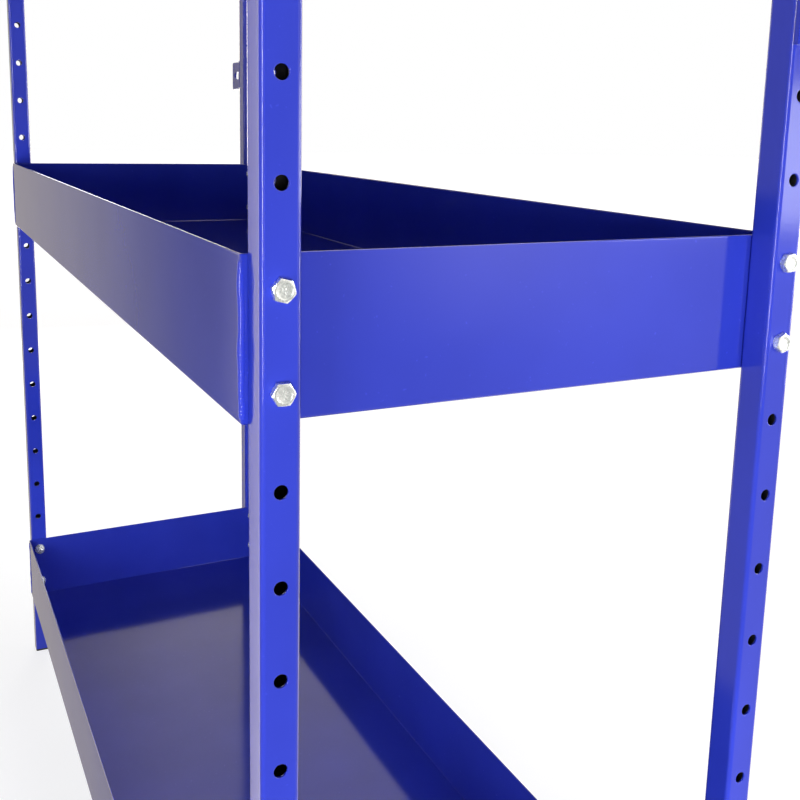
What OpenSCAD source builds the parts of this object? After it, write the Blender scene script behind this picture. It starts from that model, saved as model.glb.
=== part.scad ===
// Four-post tray rack. Square tube posts with a row of holes carry deep folded trays, which
// are bolted to the posts at both ends and can be moved up or down by whole hole steps.
// X runs along the trays, Y from the front to the back and Z up. The origin is on the floor,
// in the middle of the rack.

/* [Posts] */
// Height of the rack, from the floor to the top of the post plugs
rack_h = 1600; // [1600:60:2200]
// Width of the square tube
post_w = 25; // [20:1:25]
// Wall thickness of the square tube
post_wall = 2; // [1.5:0.25:2.25]
// Outer corner radius of the square tube
post_r = 3; // [2.5:0.25:4]
// Diameter of the post holes
hole_d = 9; // [8.5:0.5:10]
// Distance from hole to hole up the post
hole_pitch = 60; // [50:1:60]
// Height of the lowest hole above the floor
first_hole_z = 75; // [60:5:75]

/* [Trays] */
// Outside length of a tray, between the posts of the two ends
tray_l = 1230; // [800:10:1500]
// Outside width of a tray, from front to back
tray_w = 425; // [300:5:600]
// Height of a tray's walls, floor included
tray_h = 103; // [98:1:150]
// Sheet thickness
sheet = 1.5; // [1:0.25:2]
// Outside radius of the folds between the floor and the walls
fold_r = 2.5; // [2.25:0.25:4]
// Height of a tray's lower bolt row above its underside
bolt_row_up = 25; // [20:1:28]
// How far a tray's long walls stand past the side faces of the posts
tray_overhang = 4; // [4:1:10]
// Post hole that takes the lower bolts of the bottom tray, counted from 0
bottom_tray_hole = 1; // [1:1:2]
// Holes from one tray to the next
tray_step = 11; // [5:1:11]

/* [Fasteners] */
// Bolt diameter
bolt_d = 8; // [6:1:8]
// Bolt length under the head
bolt_l = 40; // [40:1:45]
// Width across the flats of the heads and nuts
hex_af = 13; // [11:1:13]
// Height of a bolt head, its washer face included
head_h = 5.3; // [4:0.1:6]
// Height of a nut
nut_h = 6.8; // [5:0.1:7]
// Outside diameter of a washer
washer_d = 16; // [14:1:16]
// Thickness of a washer
washer_t = 1.6; // [1:0.1:2]

/* [Wall brackets] */
// Height of the bracket plates
bracket_h = 50; // [40:1:56]
// Thickness of the bracket plates
plate = 4; // [3:0.5:4]
// Reach of a bracket arm past the outer face of its post
arm_l = 120; // [80:5:200]
// Length of the wall screw slot
slot_l = 34; // [20:1:40]
// Width of the wall screw slot
slot_w = 13; // [8:1:16]
// Distance from the arm's free end to the middle of the slot
slot_inset = 28; // [26:1:40]
// Post hole that the brackets sit at, counted from 0
bracket_hole = 16; // [15:1:17]

/* [Plugs] */
// Thickness of the plug plate that a post stands on
foot_plate = 3; // [2:0.5:5]
// Thickness of the plug plate that closes a post's top
cap_plate = 2; // [1.5:0.5:4]
// Depth that a plug reaches into the tube
plug_depth = 18; // [12:1:25]

/* [Hidden] */

$fn = 48;

left = -1;
right = 1;
front = -1;
back = 1;
ends = [left, right];
depths = [front, back];
bottom = 0;
middle = 1;
top = 2;

powder_coat = "royalblue";
zinc = "gainsboro";
plastic = "#202020";

cut = 1;                       // how far a cutter runs past the face it opens
top_margin = 25;               // least metal above the highest hole
hole_count = floor((rack_h - top_margin - first_hole_z) / hole_pitch) + 1;
post_x = tray_l / 2 + post_w / 2;
post_y = tray_w / 2 - tray_overhang - post_w / 2;
outer_x = tray_l / 2 + post_w;

weld_in = 1.9;                 // corner weld centre, inwards from both outer wall faces
weld_r = 2.75;                 // corner weld radius: it ends just short of the post's side
weld_end = 3;                  // weld-free length above the underside and below the rim

washer_face_d = 12.8;          // round face under a bolt head
washer_face_t = 0.8;
chamfer_h = 1.1;               // height that the hex corners are turned away over
plug_fit = 0.25;               // gap between a plug and the tube's inner face
plug_wall = 2;
ear_corner_r = 6;
arm_corner_r = 5;
fillet_r = 3;                  // bracket weld radius
// Start and length of the two weld runs up a bracket, from its lower edge
bracket_runs = [[4, 15], [35, 11]];
tack_l = 7;                    // tack weld under an ear

panel_edge = fold_r + 0.5;     // width of the plan strip that a wall and its fold take

function hole_z(n) = first_hole_z + n * hole_pitch;
function lower_hole(level) = bottom_tray_hole + level * tray_step;
function tray_z(level) = hole_z(lower_hole(level)) - bolt_row_up;

// ---------- shared shapes ----------

// A square with true round corners, centred
module rounded_square(w, r) {
    square([w, w - 2 * r], center = true);
    square([w - 2 * r, w], center = true);
    for (x = [-1, 1], y = [-1, 1])
        translate([x * (w / 2 - r), y * (w / 2 - r)]) circle(r);
}

// A rectangle from the origin, with the listed corners rounded: 0 is the corner at the
// origin and the count runs anticlockwise
module plate_outline(w, h, r, corners) {
    centres = [[r, r], [w - r, r], [w - r, h - r], [r, h - r]];
    squares = [[0, 0], [w - r, 0], [w - r, h - r], [0, h - r]];
    translate([r, 0]) square([w - 2 * r, h]);
    translate([0, r]) square([w, h - 2 * r]);
    for (i = [0:3])
        if (len([for (c = corners) if (c == i) c]) > 0)
            translate(centres[i]) circle(r);
        else
            translate(squares[i]) square(r);
}

// The end view of a box whose two lower edges are folds
module folded_section(w, h, r) {
    translate([-w / 2, r]) square([w, h - r]);
    translate([r - w / 2, 0]) square([w - 2 * r, h]);
    for (side = [-1, 1])
        translate([side * (w / 2 - r), r]) circle(r);
}

// A block with all four lower edges rounded
module folded_block(l, w, h, r) {
    intersection() {
        rotate([90, 0, 90]) linear_extrude(l, center = true) folded_section(w, h, r);
        rotate([90, 0, 0]) linear_extrude(w, center = true) folded_section(l, h, r);
    }
}

// Puts its children at one end of a tray with Z pointing out through the post, and Z = 0 on
// the tray's outer wall face
module at_bolt(end, depth, row, level) {
    translate([end * tray_l / 2, depth * post_y, hole_z(lower_hole(level) + row)])
        rotate([0, end * 90, 0]) children();
}

// Puts its children at all eight bolts of a tray
module at_bolts(level) {
    for (end = ends, depth = depths, row = [0, 1])
        at_bolt(end, depth, row, level) children();
}

// ---------- posts and plugs ----------

module post(end, depth) {
    color(powder_coat)
    translate([end * post_x, depth * post_y, 0])
        difference() {
            translate([0, 0, foot_plate])
                linear_extrude(rack_h - foot_plate - cap_plate)
                    difference() {
                        rounded_square(post_w, post_r);
                        rounded_square(post_w - 2 * post_wall, post_r - post_wall);
                    }
            for (n = [0:hole_count - 1])
                translate([0, 0, hole_z(n)]) rotate([0, 90, 0])
                    cylinder(d = hole_d, h = post_w + 2 * cut, center = true);
        }
}

// A plug with its plate on Z = 0 to plate_t and its hollow shank above
module plug(plate_t) {
    shank_w = post_w - 2 * post_wall - 2 * plug_fit;
    shank_r = 1;
    linear_extrude(plate_t) rounded_square(post_w, post_r);
    translate([0, 0, plate_t])
        linear_extrude(plug_depth)
            difference() {
                rounded_square(shank_w, shank_r);
                square(shank_w - 2 * plug_wall, center = true);
            }
}

module foot_plug(end, depth) {
    color(plastic)
    translate([end * post_x, depth * post_y, 0]) plug(foot_plate);
}

module top_plug(end, depth) {
    color(plastic)
    translate([end * post_x, depth * post_y, rack_h]) mirror([0, 0, 1]) plug(cap_plate);
}

// ---------- trays ----------

// The space inside a tray, running out through its open top
module tray_inside() {
    translate([0, 0, sheet])
        folded_block(tray_l - 2 * sheet, tray_w - 2 * sheet, tray_h, fold_r - sheet);
}

// The four round runs of weld, where two walls meet
module weld_rods() {
    for (x = [-1, 1], y = [-1, 1])
        translate([x * (tray_l / 2 - weld_in), y * (tray_w / 2 - weld_in), weld_end])
            cylinder(r = weld_r, h = tray_h - 2 * weld_end);
}

// The folded sheet of one tray, cut away for its welds and bolts
module tray_sheet(level) {
    difference() {
        translate([0, 0, tray_z(level)])
            difference() {
                folded_block(tray_l, tray_w, tray_h, fold_r);
                tray_inside();
                weld_rods();
            }
        at_bolts(level)
            translate([0, 0, -sheet - cut]) cylinder(d = hole_d, h = sheet + 2 * cut);
    }
}

// The part of a tray's sheet that stands over the plan its children draw
module tray_panel(level) {
    color(powder_coat)
    intersection() {
        tray_sheet(level);
        translate([0, 0, tray_z(level) - cut]) linear_extrude(tray_h + 2 * cut) children();
    }
}

// The plan of a wall of the length l and its fold, mitred at both ends, with the wall's outer
// face on Y = 0 and the tray below it
module wall_plan(l) {
    polygon([
        [-l / 2 - cut, cut], [l / 2 + cut, cut],
        [l / 2 - panel_edge, -panel_edge], [panel_edge - l / 2, -panel_edge]
    ]);
}

// A tray is one sheet. It is divided along its folds and corners into a floor and four walls
module tray_floor(level) {
    tray_panel(level) square([tray_l - 2 * panel_edge, tray_w - 2 * panel_edge], center = true);
}

module tray_long_wall(depth, level) {
    tray_panel(level) rotate(90 - 90 * depth) translate([0, tray_w / 2]) wall_plan(tray_l);
}

module tray_end_wall(end, level) {
    tray_panel(level) rotate(-90 * end) translate([0, tray_l / 2]) wall_plan(tray_w);
}

module corner_welds(level) {
    color(powder_coat)
    translate([0, 0, tray_z(level)])
        difference() {
            weld_rods();
            tray_inside();
        }
}

// ---------- bolts, washers and nuts ----------

// A hex prism standing on Z = 0, its far end turned to a round chamfer
module chamfered_hex(h) {
    corner_r = hex_af / 2 / cos(30);
    intersection() {
        cylinder(r = corner_r, h = h, $fn = 6);
        rotate_extrude()
            polygon([
                [0, 0], [corner_r + cut, 0], [corner_r + cut, h - chamfer_h],
                [corner_r, h - chamfer_h], [hex_af / 2 - chamfer_h / 2, h], [0, h]
            ]);
    }
}

// Each head came to rest at its own angle
function head_turn(end, depth, row) = 30 - 15 * row + 13 * (1 - end) + 11 * (1 + depth);

module bolts(level) {
    color(zinc)
    for (end = ends, depth = depths, row = [0, 1])
        at_bolt(end, depth, row, level) {
            translate([0, 0, post_w - bolt_l]) cylinder(d = bolt_d, h = bolt_l);
            translate([0, 0, post_w]) cylinder(d = washer_face_d, h = washer_face_t);
            translate([0, 0, post_w + washer_face_t])
                rotate([0, 0, head_turn(end, depth, row)])
                    chamfered_hex(head_h - washer_face_t);
        }
}

module washers(level) {
    color(zinc)
    at_bolts(level)
        translate([0, 0, -sheet - washer_t])
            difference() {
                cylinder(d = washer_d, h = washer_t);
                translate([0, 0, -cut]) cylinder(d = bolt_d + 0.4, h = washer_t + 2 * cut);
            }
}

module nuts(level) {
    color(zinc)
    for (end = ends, depth = depths, row = [0, 1])
        at_bolt(end, depth, row, level)
            translate([0, 0, -sheet - washer_t])
                rotate([180, 0, head_turn(end, depth, row) + 20])
                    difference() {
                        chamfered_hex(nut_h);
                        translate([0, 0, -cut]) cylinder(d = bolt_d, h = nut_h + 2 * cut);
                    }
}

// ---------- wall brackets ----------

// Puts its children at a back post, as seen from the right-hand end: the origin is the lower
// outer back corner of the post where the bracket starts
module at_bracket(end) {
    mirror([end < 0 ? 1 : 0, 0, 0])
        translate([outer_x, tray_w / 2 - tray_overhang, hole_z(bracket_hole) - bracket_h / 2])
            children();
}

// Plate on the post's end face, its hole in line with a post hole
module bracket_ear(end) {
    color(powder_coat)
    at_bracket(end)
        difference() {
            translate([0, -post_w, 0]) rotate([90, 0, 90])
                linear_extrude(plate) plate_outline(post_w, bracket_h, ear_corner_r, [3]);
            translate([-cut, -post_w / 2, bracket_h / 2]) rotate([0, 90, 0])
                cylinder(d = hole_d, h = plate + 2 * cut);
        }
}

// Plate that lies against the wall, flush with the trays' back walls, with a screw slot
module bracket_arm(end) {
    slot_half = (slot_l - slot_w) / 2;
    color(powder_coat)
    at_bracket(end)
        difference() {
            translate([0, plate, 0]) rotate([90, 0, 0])
                linear_extrude(plate) plate_outline(arm_l, bracket_h, arm_corner_r, [1, 2]);
            translate([arm_l - slot_inset, -cut, bracket_h / 2]) {
                for (s = [-1, 1])
                    translate([s * slot_half, 0, 0]) rotate([-90, 0, 0])
                        cylinder(d = slot_w, h = plate + 2 * cut);
                translate([-slot_half, 0, -slot_w / 2])
                    cube([2 * slot_half, plate + 2 * cut, slot_w]);
            }
        }
}

// Two runs in the corner between ear and arm, and a tack that holds the ear to the post
module bracket_welds(end) {
    color(powder_coat)
    at_bracket(end) {
        intersection() {
            translate([plate, -2 * fillet_r, 0]) cube([2 * fillet_r, 2 * fillet_r, bracket_h]);
            for (run = bracket_runs)
                translate([plate, 0, run[0]]) cylinder(r = fillet_r, h = run[1]);
        }
        intersection() {
            translate([0, -post_w, -2 * fillet_r]) cube([2 * fillet_r, post_w, 2 * fillet_r]);
            translate([0, -post_w / 2 + tack_l / 2, 0]) rotate([90, 0, 0])
                cylinder(r = fillet_r, h = tack_l);
        }
    }
}

post(left, front);  // post_front_left
post(right, front);  // post_front_right
post(left, back);  // post_back_left
post(right, back);  // post_back_right
foot_plug(left, front);  // foot_plug_front_left
foot_plug(right, front);  // foot_plug_front_right
foot_plug(left, back);  // foot_plug_back_left
foot_plug(right, back);  // foot_plug_back_right
top_plug(left, front);  // top_plug_front_left
top_plug(right, front);  // top_plug_front_right
top_plug(left, back);  // top_plug_back_left
top_plug(right, back);  // top_plug_back_right
tray_floor(bottom);  // tray_bottom_floor
tray_long_wall(front, bottom);  // tray_bottom_front_wall
tray_long_wall(back, bottom);  // tray_bottom_back_wall
tray_end_wall(left, bottom);  // tray_bottom_left_wall
tray_end_wall(right, bottom);  // tray_bottom_right_wall
tray_floor(middle);  // tray_middle_floor
tray_long_wall(front, middle);  // tray_middle_front_wall
tray_long_wall(back, middle);  // tray_middle_back_wall
tray_end_wall(left, middle);  // tray_middle_left_wall
tray_end_wall(right, middle);  // tray_middle_right_wall
tray_floor(top);  // tray_top_floor
tray_long_wall(front, top);  // tray_top_front_wall
tray_long_wall(back, top);  // tray_top_back_wall
tray_end_wall(left, top);  // tray_top_left_wall
tray_end_wall(right, top);  // tray_top_right_wall
corner_welds(bottom);  // corner_welds_bottom
corner_welds(middle);  // corner_welds_middle
corner_welds(top);  // corner_welds_top
bolts(bottom);  // bolts_bottom
bolts(middle);  // bolts_middle
bolts(top);  // bolts_top
washers(bottom);  // washers_bottom
washers(middle);  // washers_middle
washers(top);  // washers_top
nuts(bottom);  // nuts_bottom
nuts(middle);  // nuts_middle
nuts(top);  // nuts_top
bracket_ear(left);  // bracket_ear_left
bracket_ear(right);  // bracket_ear_right
bracket_arm(left);  // bracket_arm_left
bracket_arm(right);  // bracket_arm_right
bracket_welds(left);  // bracket_welds_left
bracket_welds(right);  // bracket_welds_right
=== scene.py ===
"""Looks of the four-post tray rack: powder coated sheet and tube, zinc bolts and plastic plugs."""

import math

import bmesh
import bpy
from mathutils import Matrix, Vector, noise


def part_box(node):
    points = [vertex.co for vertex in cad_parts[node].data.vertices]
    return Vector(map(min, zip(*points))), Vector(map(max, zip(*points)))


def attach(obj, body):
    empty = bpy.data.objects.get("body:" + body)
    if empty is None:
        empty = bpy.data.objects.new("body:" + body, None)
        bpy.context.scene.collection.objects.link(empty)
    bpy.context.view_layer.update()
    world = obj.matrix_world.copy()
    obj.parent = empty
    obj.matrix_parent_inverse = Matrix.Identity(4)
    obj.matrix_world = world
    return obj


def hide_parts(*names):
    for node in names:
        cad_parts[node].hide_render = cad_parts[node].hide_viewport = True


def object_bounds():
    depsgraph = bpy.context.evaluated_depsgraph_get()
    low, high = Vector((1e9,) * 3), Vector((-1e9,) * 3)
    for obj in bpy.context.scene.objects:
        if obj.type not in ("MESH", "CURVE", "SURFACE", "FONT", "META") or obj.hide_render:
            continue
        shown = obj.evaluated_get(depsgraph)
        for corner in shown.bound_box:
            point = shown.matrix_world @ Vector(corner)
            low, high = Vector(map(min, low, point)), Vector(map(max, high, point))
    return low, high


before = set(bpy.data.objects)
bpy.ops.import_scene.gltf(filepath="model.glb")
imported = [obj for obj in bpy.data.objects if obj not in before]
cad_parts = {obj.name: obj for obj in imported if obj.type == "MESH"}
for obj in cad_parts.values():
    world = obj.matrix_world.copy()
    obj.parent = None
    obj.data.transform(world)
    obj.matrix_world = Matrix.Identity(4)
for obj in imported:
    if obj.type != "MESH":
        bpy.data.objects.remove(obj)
cad_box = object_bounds()

MM = 0.001
BODY = "root"
LEVELS = ("bottom", "middle", "top")
ENDS = {"left": -1, "right": 1}
DEPTHS = {"front": -1, "back": 1}
TRAY_PANELS = ("floor", "front_wall", "back_wall", "left_wall", "right_wall")

# ---------- camera ----------

SENSOR = 36.0
FOCAL_LENGTH = 45.24
CAMERA_SHIFT_Y = -0.12
CAMERA_TURN = math.radians(63.33)
CAMERA_TILT = math.radians(79.97)
CAMERA_ROLL = math.radians(1.3)
# From the near top corner of the middle tray to the camera
CAMERA_OFFSET = Vector((0.5542, -0.1746, 0.0743))


def make_camera():
    floor_low, floor_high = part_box("tray_middle_front_wall")
    corner = Vector((floor_high.x, floor_low.y, floor_high.z))
    data = bpy.data.cameras.new("camera")
    data.sensor_width = SENSOR
    data.lens = FOCAL_LENGTH
    data.shift_y = CAMERA_SHIFT_Y
    data.clip_start = 0.01
    data.clip_end = 200
    camera = bpy.data.objects.new("camera", data)
    turn = Matrix.Rotation(CAMERA_TURN, 4, "Z")
    tilt = Matrix.Rotation(CAMERA_TILT, 4, "X")
    roll = Matrix.Rotation(CAMERA_ROLL, 4, "Z")
    camera.matrix_world = Matrix.Translation(corner + CAMERA_OFFSET) @ turn @ tilt @ roll
    bpy.context.scene.collection.objects.link(camera)
    bpy.context.scene.camera = camera


# ---------- materials ----------

class Nodes:
    """A material's node tree, with short calls to add nodes and join them."""

    def __init__(self, name):
        self.material = bpy.data.materials.new(name)
        self.material.use_nodes = True
        self.tree = self.material.node_tree
        self.shader = self.tree.nodes["Principled BSDF"]
        self.place = self.tree.nodes.new("ShaderNodeTexCoord").outputs["Object"]

    def add(self, kind, **values):
        node = self.tree.nodes.new("ShaderNode" + kind)
        for key, value in values.items():
            if key in node.inputs:
                node.inputs[key].default_value = value
            else:
                setattr(node, key, value)
        return node

    def join(self, output, socket):
        self.tree.links.new(output, socket)

    def noise(self, scale, detail):
        node = self.add("TexNoise", Scale=scale, Detail=detail, Roughness=0.5)
        self.join(self.place, node.inputs["Vector"])
        return node.outputs["Fac"]

    def ramp(self, value, low, high, start=0.35, end=0.65):
        """A value between start and end becomes one between low and high."""
        node = self.add("MapRange")
        self.join(value, node.inputs["Value"])
        node.inputs["From Min"].default_value = start
        node.inputs["From Max"].default_value = end
        node.inputs["To Min"].default_value = low
        node.inputs["To Max"].default_value = high
        return node.outputs["Result"]


def color_mix(nodes, factor, first, second):
    """Two colours mixed by a factor output."""
    mix = nodes.tree.nodes.new("ShaderNodeMix")
    mix.data_type = "RGBA"
    factor_in = [s for s in mix.inputs if s.identifier == "Factor_Float"][0]
    a_in = [s for s in mix.inputs if s.identifier == "A_Color"][0]
    b_in = [s for s in mix.inputs if s.identifier == "B_Color"][0]
    nodes.join(factor, factor_in)
    for value, socket in ((first, a_in), (second, b_in)):
        if isinstance(value, tuple):
            socket.default_value = value
        else:
            nodes.join(value, socket)
    return [s for s in mix.outputs if s.identifier == "Result_Color"][0]


def stacked_bumps(nodes, layers):
    """Bumps of (height output, distance) laid one on another, joined to the shader."""
    below = None
    for height, distance in layers:
        bump = nodes.add("Bump", Distance=distance)
        bump.inputs["Strength"].default_value = 1.0
        nodes.join(height, bump.inputs["Height"])
        if below is not None:
            nodes.join(below, bump.inputs["Normal"])
        below = bump.outputs["Normal"]
    nodes.join(below, nodes.shader.inputs["Normal"])


SPECK_BLUE = (0.045, 0.07, 0.66, 1.0)


def powder_coat(name, deep, light, waviness, peel, roughness):
    """Glossy powder coat: orange peel, a slow drift of colour, sheet waviness under it, and
    sparse small specks of lighter powder."""
    nodes = Nodes(name)
    cloud = nodes.ramp(nodes.noise(7.0, 3.0), 0.0, 1.0)
    drift = color_mix(nodes, cloud, deep, light)
    specks = nodes.ramp(nodes.noise(310.0, 1.0), 0.0, 0.6, 0.74, 0.8)
    nodes.join(color_mix(nodes, specks, drift, SPECK_BLUE), nodes.shader.inputs["Base Color"])
    grain = nodes.ramp(nodes.noise(420.0, 3.0), roughness - 0.01, roughness + 0.01)
    nodes.join(grain, nodes.shader.inputs["Roughness"])
    stacked_bumps(
        nodes,
        (
            (nodes.noise(9.0, 1.0), waviness),
            (nodes.noise(330.0, 2.0), peel),
        ),
    )
    return nodes.material


def zinc_plate(name):
    """Bright zinc: a metal with a cloudy bloom and a fine bump."""
    nodes = Nodes(name)
    bloom = nodes.ramp(nodes.noise(180.0, 2.0), 0.0, 1.0)
    color = color_mix(nodes, bloom, (0.68, 0.73, 0.71, 1.0), (0.80, 0.84, 0.82, 1.0))
    nodes.join(color, nodes.shader.inputs["Base Color"])
    rough = nodes.ramp(nodes.noise(400.0, 2.0), 0.2, 0.32)
    nodes.join(rough, nodes.shader.inputs["Roughness"])
    nodes.shader.inputs["Metallic"].default_value = 0.7
    stacked_bumps(nodes, ((nodes.noise(700.0, 2.0), 0.02 * MM),))
    return nodes.material


def bare_steel_with_painted_shade(name):
    """The unpainted inside of a tube: bare steel, dull and mottled, made near black as painted
    shade of the tube's hollow.
    """
    nodes = Nodes(name)
    scale = nodes.ramp(nodes.noise(90.0, 4.0), 0.0, 1.0)
    color = color_mix(nodes, scale, (0.006, 0.006, 0.008, 1.0), (0.016, 0.015, 0.015, 1.0))
    nodes.join(color, nodes.shader.inputs["Base Color"])
    rough = nodes.ramp(nodes.noise(500.0, 2.0), 0.6, 0.8)
    nodes.join(rough, nodes.shader.inputs["Roughness"])
    stacked_bumps(nodes, ((nodes.noise(800.0, 2.0), 0.02 * MM),))
    return nodes.material


def moulded_plastic(name):
    """Black moulded plastic with a fine spark-eroded grain."""
    nodes = Nodes(name)
    shade = nodes.ramp(nodes.noise(60.0, 3.0), 0.0, 1.0)
    color = color_mix(nodes, shade, (0.012, 0.012, 0.014, 1.0), (0.022, 0.022, 0.025, 1.0))
    nodes.join(color, nodes.shader.inputs["Base Color"])
    rough = nodes.ramp(nodes.noise(1500.0, 2.0), 0.42, 0.6)
    nodes.join(rough, nodes.shader.inputs["Roughness"])
    stacked_bumps(nodes, ((nodes.noise(2200.0, 2.0), 0.03 * MM),))
    return nodes.material


def pale_floor(name):
    """A pale floor that glows, and fades to the white of the room far away."""
    nodes = Nodes(name)
    shade = nodes.ramp(nodes.noise(3.0, 2.0), 0.0, 1.0)
    color = color_mix(nodes, shade, (0.30, 0.30, 0.31, 1.0), (0.33, 0.33, 0.33, 1.0))
    nodes.join(color, nodes.shader.inputs["Base Color"])
    nodes.shader.inputs["Roughness"].default_value = 0.8
    nodes.shader.inputs["Emission Color"].default_value = (1.0, 1.0, 1.0, 1.0)
    reach = nodes.tree.nodes.new("ShaderNodeVectorMath")
    reach.operation = "LENGTH"
    nodes.join(nodes.place, reach.inputs[0])
    glow = nodes.ramp(reach.outputs["Value"], 0.78, 0.98, 2.0, 7.0)
    nodes.join(glow, nodes.shader.inputs["Emission Strength"])
    return nodes.material


DEEP_BLUE = (0.025, 0.045, 0.52, 1.0)
LIGHT_BLUE = (0.030, 0.053, 0.60, 1.0)
# The sheet's blue is darker than the tube's: the same coat, with painted shade for the dimmer
# light on the trays' walls
SHEET_DEEP = (0.021, 0.037, 0.43, 1.0)
SHEET_LIGHT = (0.025, 0.044, 0.49, 1.0)
coat_tube = powder_coat("coat_tube", DEEP_BLUE, LIGHT_BLUE, 0.1 * MM, 0.018 * MM, 0.12)
coat_sheet = powder_coat("coat_sheet", SHEET_DEEP, SHEET_LIGHT, 0.25 * MM, 0.003 * MM, 0.1)
coat_weld = powder_coat("coat_weld", DEEP_BLUE, LIGHT_BLUE, 0.1 * MM, 0.01 * MM, 0.15)
# Near-black bare steel: its darkness is painted shade inside the tubes
tube_inside = bare_steel_with_painted_shade("tube_inside")
zinc = zinc_plate("zinc")
plastic = moulded_plastic("plastic")

# ---------- mesh helpers ----------


def make_piece(name, points, faces, material, replaced, sharp=35):
    mesh = bpy.data.meshes.new(name)
    mesh.from_pydata([tuple(p) for p in points], [], faces)
    solid = bmesh.new()
    solid.from_mesh(mesh)
    bmesh.ops.remove_doubles(solid, verts=solid.verts, dist=1e-7)
    bmesh.ops.recalc_face_normals(solid, faces=solid.faces)
    solid.to_mesh(mesh)
    solid.free()
    mesh.shade_smooth()
    mesh.set_sharp_from_angle(angle=math.radians(sharp))
    mesh.materials.append(material)
    piece = bpy.data.objects.new(name, mesh)
    bpy.context.scene.collection.objects.link(piece)
    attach(piece, BODY)
    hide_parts(*replaced)
    return piece


def joined_rings(rings, first=0):
    """Faces between closed rings of the same length, point numbers starting at first."""
    n = len(rings[0])
    faces = []
    for r in range(len(rings) - 1):
        for k in range(n):
            a = first + r * n + k
            b = first + r * n + (k + 1) % n
            faces.append((a, b, b + n, a + n))
    return faces


# ---------- trays ----------

SHEET = 1.5 * MM
FOLD_OUT = 2.5 * MM
FOLD_IN = FOLD_OUT - SHEET
RIM_ROUND = 0.7 * MM
FOLD_STEPS = 6
RIM_STEPS = 3
CORNER_STEPS = 3
# Next to each arc, a row of points this far out on the flat keeps the panels' shading flat
FLAT_GUARD = 0.5 * MM


def arc(center, radius, start, end, steps):
    """Points (d, z) along an arc, angles in degrees."""
    out = []
    for i in range(steps + 1):
        a = math.radians(start + (end - start) * i / steps)
        out.append((center[0] + radius * math.cos(a), center[1] + radius * math.sin(a)))
    return out


def tray_profile(height):
    """From the underside's edge up the outside, over the rim and down to the floor inside.
    Each point is (distance inwards from the outer face, height)."""
    in_fold = SHEET + FOLD_IN
    rim = height - RIM_ROUND
    return (
        [(FOLD_OUT + FLAT_GUARD, 0.0)]
        + arc((FOLD_OUT, FOLD_OUT), FOLD_OUT, 270, 180, FOLD_STEPS)
        + [(0.0, FOLD_OUT + FLAT_GUARD), (0.0, rim - FLAT_GUARD)]
        + arc((RIM_ROUND, rim), RIM_ROUND, 180, 90, RIM_STEPS)
        + arc((SHEET - RIM_ROUND, rim), RIM_ROUND, 90, 0, RIM_STEPS)
        + [(SHEET, rim - FLAT_GUARD), (SHEET, in_fold + FLAT_GUARD)]
        + arc((in_fold, in_fold), FOLD_IN, 180, 270, FOLD_STEPS)
        + [(in_fold + FLAT_GUARD, SHEET)]
    )


def rounded_ring(half_x, half_y, radius, z):
    """A level rectangle with round corners, about the middle of the rack."""
    points = []
    for sx, sy, start in ((1, 1, 0), (-1, 1, 90), (-1, -1, 180), (1, -1, 270)):
        cx, cy = sx * (half_x - radius), sy * (half_y - radius)
        arc_points = arc((cx, cy), radius, start, start + 90, CORNER_STEPS)
        for quarter, end in ((-1, arc_points[0]), (1, arc_points[-1])):
            a = math.radians(start + (0 if quarter < 0 else 90) + 90 * quarter)
            guard = (end[0] + FLAT_GUARD * math.cos(a), end[1] + FLAT_GUARD * math.sin(a))
            arc_points.insert(0 if quarter < 0 else len(arc_points), guard)
        points += [Vector((x, y, z)) for x, y in arc_points]
    return points


def make_tray(level):
    low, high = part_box(f"tray_{level}_front_wall")
    back_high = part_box(f"tray_{level}_back_wall")[1]
    half_x, half_y = high.x, back_high.y
    rings = []
    for d, z in tray_profile(high.z - low.z):
        corner = max(1.2 * MM - 0.6 * d, 0.25 * MM)
        rings.append(rounded_ring(half_x - d, half_y - d, corner, low.z + z))
    points = [p for ring in rings for p in ring]
    n = len(rings[0])
    faces = joined_rings(rings)
    faces.append(tuple(range(n)))
    faces.append(tuple(range(len(points) - n, len(points))))
    nodes = [f"tray_{level}_{panel}" for panel in TRAY_PANELS]
    return make_piece(f"tray_sheet_{level}", points, faces, coat_sheet, nodes, 25)


# ---------- posts ----------

TUBE_HALF = 12.5 * MM
TUBE_WALL = 2 * MM
TUBE_ROUND = 3 * MM
# Half of the flat square round each hole, a little less than half of the tube's flat side
CELL_HALF = 9 * MM
CELL_STEPS = 6
HOLE_RADIUS = 4.5 * MM
HOLE_FIRST = 75 * MM
HOLE_PITCH = 60 * MM
# Rings round a hole from the outer face to the inner one: (radius, depth from that face)
OUTER_EDGE = ((5.4, 0.0), (4.95, 0.0), (4.75, 0.05), (4.57, 0.2), (4.5, 0.45))
INNER_EDGE = ((4.5, 0.2), (4.7, 0.0), (5.2, 0.0))


def tube_profile(half, radius):
    """The tube's section as (x, y) points, with CELL_STEPS parts across its drilled sides."""
    flat = half - radius
    side = [CELL_HALF * (2 * j / CELL_STEPS - 1) for j in range(CELL_STEPS + 1)]
    return (
        [(half, y) for y in side]
        + arc((flat, flat), radius, 0, 90, 4)
        + [(CELL_HALF, half), (-CELL_HALF, half)]
        + arc((-flat, flat), radius, 90, 180, 4)
        + [(-half, y) for y in reversed(side)]
        + arc((-flat, -flat), radius, 180, 270, 4)
        + [(-CELL_HALF, -half), (CELL_HALF, -half)]
        + arc((flat, -flat), radius, 270, 360, 4)
    )


def cell_border(side, level, across):
    """(level, column) places round a hole's square, from its lower right corner upwards.
    side is 1 for the drilled side towards +X."""
    first, step = (0, 1) if side > 0 else (across // 2, -1)
    right = first + (CELL_STEPS if side > 0 else 0)
    left = right - step * CELL_STEPS
    n = CELL_STEPS
    return (
        [(level + i, right) for i in range(n)]
        + [(level + n, right - step * i) for i in range(n)]
        + [(level + n - i, left) for i in range(n)]
        + [(level, left + step * i) for i in range(n)]
    )


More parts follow.
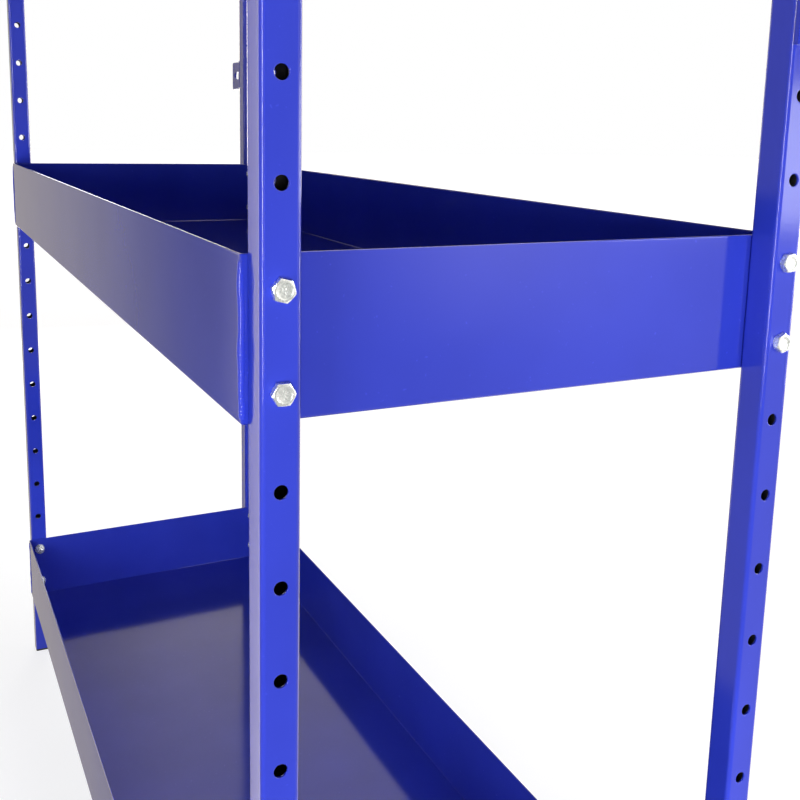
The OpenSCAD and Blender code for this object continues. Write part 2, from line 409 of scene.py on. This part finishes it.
def make_post(depth_name, end_name):
    """A tube with an outer and an inner skin, joined at its ends and through its holes."""
    place = f"{depth_name}_{end_name}"
    low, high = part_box(f"post_{place}")
    middle = (low + high) / 2
    holes = []
    while HOLE_FIRST + HOLE_PITCH * len(holes) < high.z:
        holes.append(HOLE_FIRST + HOLE_PITCH * len(holes))
    heights = [low.z]
    for z in holes:
        heights += [z + CELL_HALF * (2 * j / CELL_STEPS - 1) for j in range(CELL_STEPS + 1)]
    heights.append(high.z)
    outer = tube_profile(TUBE_HALF, TUBE_ROUND)
    inner = tube_profile(TUBE_HALF - TUBE_WALL, TUBE_ROUND - TUBE_WALL)
    n = len(outer)
    points, faces = [], []
    for profile in (outer, inner):
        for z in heights:
            points += [Vector((middle.x + x, middle.y + y, z)) for x, y in profile]
    inner_first = n * len(heights)
    # Columns of the two drilled sides
    drilled = set(range(CELL_STEPS)) | set(range(n // 2, n // 2 + CELL_STEPS))
    for r in range(len(heights) - 1):
        in_cell = 0 < r < len(heights) - 2 and (r - 1) % (CELL_STEPS + 1) < CELL_STEPS
        for k in range(n):
            if in_cell and k in drilled:
                continue
            for first in (0, inner_first):
                a, b = first + r * n + k, first + r * n + (k + 1) % n
                faces.append((a, b, b + n, a + n))
    for row in (0, len(heights) - 1):
        for k in range(n):
            a, b = row * n + k, row * n + (k + 1) % n
            faces.append((a, b, b + inner_first, a + inner_first))
    count = 4 * CELL_STEPS
    for h, z in enumerate(holes):
        for side in (1, -1):
            border = cell_border(side, 1 + h * (CELL_STEPS + 1), n)
            loops = [[r * n + k for r, k in border]]
            rings = [(radius, TUBE_HALF - depth * MM) for radius, depth in OUTER_EDGE]
            inside = TUBE_HALF - TUBE_WALL
            rings += [(radius, inside + depth * MM) for radius, depth in INNER_EDGE]
            for radius, x in rings:
                loops.append(list(range(len(points), len(points) + count)))
                for i in range(count):
                    a = math.radians(-45 + 360 * i / count)
                    y, up = radius * MM * math.cos(a), radius * MM * math.sin(a)
                    points.append(Vector((middle.x + side * x, middle.y + y, z + up)))
            loops.append([inner_first + r * n + k for r, k in border])
            for first, second in zip(loops, loops[1:]):
                for i in range(count):
                    j = (i + 1) % count
                    faces.append((first[i], first[j], second[j], second[i]))
    post = make_piece(
        f"post_tube_{place}", points, faces, coat_tube, [f"post_{place}"], 50
    )
    # The inner faces get the near-black inside material, painted shade of the hollow over bare
    # steel
    post.data.materials.append(tube_inside)
    for face in post.data.polygons:
        aside = face.center - middle
        if max(abs(aside.x), abs(aside.y)) < TUBE_HALF - TUBE_WALL + 0.05 * MM:
            face.material_index = 1
    return post


# ---------- weld beads ----------

RIPPLE = 2.4 * MM
BEAD_STEP = 0.3 * MM
BEAD_STEPS = 10
# A corner bead's section, as (inwards, along the end wall) from the tray's sharp corner
CORNER_BEAD_CENTER = (2.1 * MM, 1.4 * MM)
CORNER_BEAD_ROOT = (1.2 * MM, 1.2 * MM)
CORNER_BEAD_RADIUS = 2.45 * MM
BRACKET_BEAD_ROOT = (-0.8 * MM, -0.8 * MM)
BRACKET_BEAD_RADIUS = 3 * MM
# The two runs between ear and arm: (start above the arm's lower edge, length)
BRACKET_RUNS = ((4 * MM, 15 * MM), (35 * MM, 11 * MM))
TACK_LENGTH = 7 * MM


def bead_rings(start, end, side, up, center, radius, angles, root, seed, bow=0.0):
    """Rings of a rippled weld bead from start to end. center and root are (side, up)
    places in the bead's section, and angles the stretch of its round face in degrees."""
    length = (end - start).length
    steps = max(8, round(length / BEAD_STEP))
    along = (end - start) / steps
    rings = []
    for i in range(steps + 1):
        s = i / steps * length
        from_end = min(s, length - s)
        swell = math.sqrt(max(0.0, 1 - max(0.0, 1 - from_end / (1.5 * radius)) ** 2))
        scallop = 0.05 * abs(math.sin(math.pi * s / RIPPLE))
        uneven = 0.22 * noise.noise(Vector((seed, s * 75, 0.3)))
        bowed = 1 + bow * (math.sin(math.pi * s / length) - 0.5)
        r = radius * bowed * (0.35 + 0.65 * swell) * (0.93 + scallop + uneven)
        wander = 0.55 * MM * noise.noise(Vector((seed + 7.7, s * 45, 0.8)))
        middle = start + along * i
        ring = [middle + side * root[0] + up * root[1]]
        for k in range(BEAD_STEPS + 1):
            a = math.radians(angles[0] + (angles[1] - angles[0]) * k / BEAD_STEPS)
            place_side = center[0] + wander + r * math.cos(a)
            place_up = center[1] - wander + r * math.sin(a)
            ring.append(middle + side * place_side + up * place_up)
        rings.append(ring)
    return rings


def add_stack(points, faces, rings):
    """Adds a closed solid: a stack of rings with a face at each end."""
    first = len(points)
    n = len(rings[0])
    points.extend(p for ring in rings for p in ring)
    faces.extend(joined_rings(rings, first))
    faces.append(tuple(range(first, first + n)))
    faces.append(tuple(range(len(points) - n, len(points))))


def make_corner_welds(level):
    low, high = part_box(f"tray_{level}_front_wall")
    half_x, half_y = high.x, -low.y
    weld_low, weld_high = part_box(f"corner_welds_{level}")
    points, faces = [], []
    for ex in ENDS.values():
        for dy in DEPTHS.values():
            start = Vector((ex * half_x, dy * half_y, weld_low.z))
            end = Vector((ex * half_x, dy * half_y, weld_high.z))
            side, up = Vector((-ex, 0, 0)), Vector((0, -dy, 0))
            rings = bead_rings(
                start, end, side, up, CORNER_BEAD_CENTER, CORNER_BEAD_RADIUS, (138, 338),
                CORNER_BEAD_ROOT, 3.1 * ex + 5.3 * dy + weld_low.z, bow=0.14,
            )
            add_stack(points, faces, rings)
    return make_piece(
        f"weld_beads_{level}", points, faces, coat_weld,
        [f"corner_welds_{level}"], 60,
    )


def make_bracket_welds(end_name, ex):
    """Two runs in the corner between ear and arm, and a tack under the ear."""
    ear_low, ear_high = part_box(f"bracket_ear_{end_name}")
    arm_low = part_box(f"bracket_arm_{end_name}")[0]
    face_x = ear_high.x if ex > 0 else ear_low.x
    post_x = ear_low.x if ex > 0 else ear_high.x
    post_low, post_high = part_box(f"post_back_{end_name}")
    tack_y = (post_low.y + post_high.y) / 2 - TACK_LENGTH / 2
    beads = [
        (Vector((face_x, arm_low.y, arm_low.z + rise)), Vector((0, 0, length)), Vector((0, -1, 0)))
        for rise, length in BRACKET_RUNS
    ]
    tack_start = Vector((post_x, tack_y, ear_low.z))
    beads.append((tack_start, Vector((0, TACK_LENGTH, 0)), Vector((0, 0, -1))))
    points, faces = [], []
    for (start, run, up), seed in zip(beads, (11.0, 12.0, 17.0)):
        rings = bead_rings(
            start, start + run, Vector((ex, 0, 0)), up, (0, 0), BRACKET_BEAD_RADIUS,
            (-12, 102), BRACKET_BEAD_ROOT, seed + ex,
        )
        add_stack(points, faces, rings)
    return make_piece(
        f"bracket_beads_{end_name}", points, faces, coat_weld,
        [f"bracket_welds_{end_name}"], 60,
    )


# ---------- bolts ----------

ACROSS_FLATS = 13 * MM
HEAD_HEIGHT = 5.3 * MM
BOLT_RADIUS = 4 * MM
BOLT_LENGTH = 40 * MM
THREAD_PITCH = 1.25 * MM
THREAD_DEPTH = 0.6 * MM
THREAD_SHOWN = 7 * MM
BOLT_SIDES = 48
WASHER_FACE_RADIUS = 6.4 * MM
# Where the chamfer on top of a head begins, and its slope
CHAMFER_RADIUS = 6.15 * MM
CHAMFER_SLOPE = math.tan(math.radians(32))
# From the head's flat ring down into its dished middle: (radius, depth)
DISH = ((5.0, 0.0), (4.85, 0.1), (4.6, 0.62), (4.4, 0.7), (3.5, 0.75))
STRUCK_RADII = (3.0, 2.4, 1.8, 1.2, 0.6)
WASHER_RADIUS = 8 * MM


def hex_radius(angle, turn):
    """Distance from the axis to a hexagon's side, with its corners at turn + 60 degrees."""
    within = math.degrees(angle - turn) % 60 - 30
    return ACROSS_FLATS / 2 / math.cos(math.radians(within))


def thread_radius(angle, z):
    """A 60 degree thread wound on the bolt, run out to a chamfer at its tip."""
    phase = (z / THREAD_PITCH + angle / math.tau) % 1.0
    tip = BOLT_RADIUS - max(0.0, 0.9 * MM - (z + BOLT_LENGTH))
    return min(BOLT_RADIUS - THREAD_DEPTH * abs(2 * phase - 1), tip)


def struck_face(radius, angle, turn):
    """Height of the dished middle of a head, uneven from the forging die."""
    at = Vector((radius * math.cos(angle), radius * math.sin(angle), 0)) / MM
    dent = noise.noise(at * 1.1 + Vector((turn * 9, 0, 2.0)))
    return HEAD_HEIGHT - 0.8 * MM + 0.3 * MM * dent - 0.04 * (3.5 * MM - radius)


def bolt_rings(turn):
    """(radius, z) rings of a bolt from its tip to the dished middle of its head, with z = 0
    under the head. A radius may be a function of the angle."""
    rings = []
    steps = round(THREAD_SHOWN / (THREAD_PITCH / 6))
    for i in range(steps + 1):
        z = -BOLT_LENGTH + THREAD_SHOWN * i / steps
        rings.append((lambda a, z=z: thread_radius(a, z), lambda a, z=z: z))

    def flat(radius, z):
        rings.append((lambda a: radius, lambda a: z))

    def head_edge(a):
        return HEAD_HEIGHT - (hex_radius(a, turn) - CHAMFER_RADIUS) * CHAMFER_SLOPE

    flat(BOLT_RADIUS, -BOLT_LENGTH + THREAD_SHOWN + 0.2 * MM)
    flat(BOLT_RADIUS, 0)
    flat(WASHER_FACE_RADIUS, 0)
    flat(WASHER_FACE_RADIUS, 0.75 * MM)
    rings.append((lambda a: hex_radius(a, turn) - 0.15 * MM, lambda a: 0.8 * MM))
    rings.append((lambda a: hex_radius(a, turn), lambda a: 0.95 * MM))
    rings.append((lambda a: hex_radius(a, turn), head_edge))
    flat(CHAMFER_RADIUS + 0.15 * MM, HEAD_HEIGHT - 0.06 * MM)
    flat(CHAMFER_RADIUS - 0.15 * MM, HEAD_HEIGHT)
    for radius, depth in DISH:
        flat(radius * MM, HEAD_HEIGHT - depth * MM)
    for radius in STRUCK_RADII:
        r = radius * MM
        rings.append((lambda a, r=r: r, lambda a, r=r: struck_face(r, a, turn)))
    return rings


def make_bolts(level):
    low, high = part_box(f"washers_{level}")
    points, faces = [], []
    for end_name, ex in ENDS.items():
        post_low, post_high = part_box(f"post_front_{end_name}")
        seat_x = post_high.x if ex > 0 else post_low.x
        for dy in DEPTHS.values():
            seat_y = low.y + WASHER_RADIUS if dy < 0 else high.y - WASHER_RADIUS
            for row in (0, 1):
                seat_z = high.z - WASHER_RADIUS if row else low.z + WASHER_RADIUS
                seat = Vector((seat_x, seat_y, seat_z))
                turn = math.radians(30 - 15 * row + 13 * (1 - ex) + 11 * (1 + dy))
                down, across, out = Vector((0, 0, -ex)), Vector((0, 1, 0)), Vector((ex, 0, 0))
                rings = []
                for radius, rise in bolt_rings(turn):
                    ring = []
                    for k in range(BOLT_SIDES):
                        a = math.tau * k / BOLT_SIDES + turn
                        r = radius(a)
                        ring.append(
                            seat + down * r * math.cos(a) + across * r * math.sin(a)
                            + out * rise(a)
                        )
                    rings.append(ring)
                add_stack(points, faces, rings)
    return make_piece(f"hex_bolts_{level}", points, faces, zinc, [f"bolts_{level}"], 20)


# ---------- CAD nodes that stay, and the posts ----------


def dress(node_name, material, edge=0.0):
    """Gives a CAD node its material, and rounds its edges by a modifier."""
    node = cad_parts[node_name]
    node.data.materials.clear()
    node.data.materials.append(material)
    if edge:
        weld = node.modifiers.new("weld", "WELD")
        weld.merge_threshold = 1e-6
        bevel = node.modifiers.new("bevel", "BEVEL")
        bevel.width = edge
        bevel.segments = 2
        bevel.limit_method = "ANGLE"
        bevel.angle_limit = math.radians(40)
        bevel.harden_normals = True


def dress_nodes():
    for end_name in ENDS:
        for depth_name in DEPTHS:
            place = f"{depth_name}_{end_name}"
            make_post(depth_name, end_name)
            dress(f"foot_plug_{place}", plastic)
            dress(f"top_plug_{place}", plastic)
        dress(f"bracket_ear_{end_name}", coat_tube, 0.3 * MM)
        dress(f"bracket_arm_{end_name}", coat_tube, 0.3 * MM)
    for level in LEVELS:
        dress(f"washers_{level}", zinc)
        dress(f"nuts_{level}", zinc)


# ---------- studio ----------

ROOM_LIGHT = 0.1
WALL_LIGHT = 1.0
WHITE = 1.0
WARM_WALL = (1.0, 0.9, 0.84, 1.0)
FLOOR_HALF = 30.0
RACK_MIDDLE = (0.0, 0.0, 0.8)
RIGHT_END = (0.64, 0.0, 0.8)


def area_light(name, place, target, size, power, gloss=True, soft=True, spread=180):
    """A light unseen by the camera. gloss lets it be mirrored, and soft lets it light."""
    data = bpy.data.lights.new(name, "AREA")
    data.shape = "RECTANGLE"
    data.size, data.size_y = size
    data.energy = power
    data.spread = math.radians(spread)
    light = bpy.data.objects.new(name, data)
    light.location = place
    aim = Vector(target) - Vector(place)
    light.rotation_euler = aim.to_track_quat("-Z", "Y").to_euler()
    light.visible_camera = False
    light.visible_glossy = gloss
    light.visible_diffuse = soft
    bpy.context.scene.collection.objects.link(light)


def make_studio():
    low, high = cad_box
    floor_mesh = bpy.data.meshes.new("studio_floor")
    half = FLOOR_HALF
    floor_mesh.from_pydata(
        [(-half, -half, 0), (half, -half, 0), (half, half, 0), (-half, half, 0)],
        [], [(0, 1, 2, 3)],
    )
    floor_mesh.materials.append(pale_floor("floor"))
    floor = bpy.data.objects.new("studio_floor", floor_mesh)
    floor.location.z = low[2] - 0.0005
    bpy.context.scene.collection.objects.link(floor)
    floor.visible_diffuse = False
    floor.visible_glossy = False
    make_world()
    area_light("key", (3.2, -0.85, 0.6), RIGHT_END, (0.9, 0.9), 70, gloss=False)
    area_light(
        "corner_fill", (1.15, -1.1, 0.6), (0.64, -0.2, 0.6), (0.4, 0.9), 5.0, gloss=False
    )
    area_light(
        "end_fill", (1.9, 0.35, 1.2), (0.62, 0.1, 0.83), (0.12, 0.12), 0.09,
        gloss=False, spread=20,
    )
    area_light(
        "floor_fill", (1.35, 0.05, 0.72), (0.0, 0.0, 0.11), (0.3, 0.2), 0.28,
        gloss=False, spread=34,
    )
    area_light("top", (0.0, 0.0, 3.2), (0, 0, 0), (1.1, 0.35), 45)
    area_light("left_fill", (-3.5, 0.6, 0.9), RACK_MIDDLE, (1.5, 1.2), 30)
    area_light("back_fill", (0.0, 3.4, 1.0), RACK_MIDDLE, (2.0, 1.2), 30)
    area_light("front_fill", (1.0, -3.0, 1.0), (0.2, 0.0, 0.8), (1.5, 1.2), 7, gloss=False)
    area_light("edge_strip", (2.2, -1.9, 1.2), RIGHT_END, (0.2, 2.2), 55, soft=False)
    area_light("far_strip", (1.7, 2.5, 1.2), RIGHT_END, (0.2, 2.2), 30, soft=False)
    area_light("card", (2.35, 2.1, 0.88), (0.64, 0.2, 0.9), (1.1, 0.42), 8, soft=False)


def world_range(tree, value, start, end, low, high):
    """A value between start and end becomes one between low and high."""
    node = tree.nodes.new("ShaderNodeMapRange")
    tree.links.new(value, node.inputs["Value"])
    for key, number in (("From Min", start), ("From Max", end), ("To Min", low), ("To Max", high)):
        node.inputs[key].default_value = number
    return node.outputs["Result"]


def world_light(tree, color, strength, previous=None):
    """A background of a colour and a strength output, added to the previous shader."""
    back = tree.nodes.new("ShaderNodeBackground")
    back.inputs["Color"].default_value = color
    tree.links.new(strength, back.inputs["Strength"])
    if previous is None:
        return back.outputs["Background"]
    both = tree.nodes.new("ShaderNodeAddShader")
    tree.links.new(previous, both.inputs[0])
    tree.links.new(back.outputs["Background"], both.inputs[1])
    return both.outputs["Shader"]


def world_ramp(tree, around, levels):
    """Brightness by direction in plan, from (degrees, brightness) pairs."""
    ramp = tree.nodes.new("ShaderNodeValToRGB")
    stops = ramp.color_ramp.elements
    while len(stops) < len(levels):
        stops.new(0.5)
    for stop, (degrees, level) in zip(stops, levels):
        stop.position = degrees / 360 + 0.5
        stop.color = (level, level, level, 1.0)
    tree.links.new(around, ramp.inputs["Fac"])
    return ramp.outputs["Color"]


# The mirrored room's brightness all round: degrees from -X towards +Y, and the brightness
ROOM_ROUND = (
    (-180, 0.3), (-90, 0.4), (-50, 0.25), (-18.2, 0.04), (-14.3, 0.14), (-11.6, 0.3),
    (-9, 0.41), (-6.5, 0.45), (7.4, 0.6), (13.8, 1.2), (50, 1.2), (70, 2.2),
    (100, 2.2), (118, 0.8), (144, 0.8), (160, 0.35),
)
# The same for a bright panel that stands low down beside that wall
PANEL_ROUND = ((-90, 0.0), (-42, 0.3), (-25, 3.0), (-19.1, 3.5), (-18.4, 0.0))
# And for a soft glow from the right, above the floor
GLOW_ROUND = ((136, 0.0), (149, 1.5), (159, 0.0))


def make_world():
    """A dim room for soft light, white where it is seen. The gloss mirrors warm walls whose
    brightness depends on the direction."""
    world = bpy.data.worlds.new("studio")
    world.use_nodes = True
    tree = world.node_tree
    rays = tree.nodes.new("ShaderNodeLightPath")
    place = tree.nodes.new("ShaderNodeTexCoord")
    split = tree.nodes.new("ShaderNodeSeparateXYZ")
    tree.links.new(place.outputs["Generated"], split.inputs["Vector"])
    upward = world_range(tree, split.outputs["Z"], 0.6, 0.9, WALL_LIGHT, 3 * WALL_LIGHT)
    left = tree.nodes.new("ShaderNodeMath")
    left.operation = "MULTIPLY"
    left.inputs[1].default_value = -1.0
    tree.links.new(split.outputs["X"], left.inputs[0])
    angle = tree.nodes.new("ShaderNodeMath")
    angle.operation = "ARCTAN2"
    tree.links.new(split.outputs["Y"], angle.inputs[0])
    tree.links.new(left.outputs["Value"], angle.inputs[1])
    around = world_range(tree, angle.outputs["Value"], -math.pi, math.pi, 0.0, 1.0)
    seen = world_range(tree, rays.outputs["Is Camera Ray"], 0.0, 1.0, ROOM_LIGHT, WHITE)
    lit = world_light(tree, (1.0, 1.0, 1.0, 1.0), seen)
    downward = world_range(tree, split.outputs["Z"], 0.12, 0.3, 1.0, 0.0)
    raised = world_range(tree, split.outputs["Z"], -0.22, -0.1, 0.0, 1.0)
    directions = ((ROOM_ROUND, upward), (PANEL_ROUND, downward), (GLOW_ROUND, raised))
    for levels, by_height in directions:
        total = rays.outputs["Is Glossy Ray"]
        for factor in (by_height, world_ramp(tree, around, levels)):
            product = tree.nodes.new("ShaderNodeMath")
            product.operation = "MULTIPLY"
            tree.links.new(total, product.inputs[0])
            tree.links.new(factor, product.inputs[1])
            total = product.outputs["Value"]
        lit = world_light(tree, WARM_WALL, total, lit)
    tree.links.new(lit, tree.nodes["World Output"].inputs["Surface"])
    bpy.context.scene.world = world


make_camera()
for level in LEVELS:
    make_tray(level)
    make_corner_welds(level)
    make_bolts(level)
for end_name, ex in ENDS.items():
    make_bracket_welds(end_name, ex)
dress_nodes()
make_studio()
bpy.context.scene.view_settings.view_transform = "Standard"
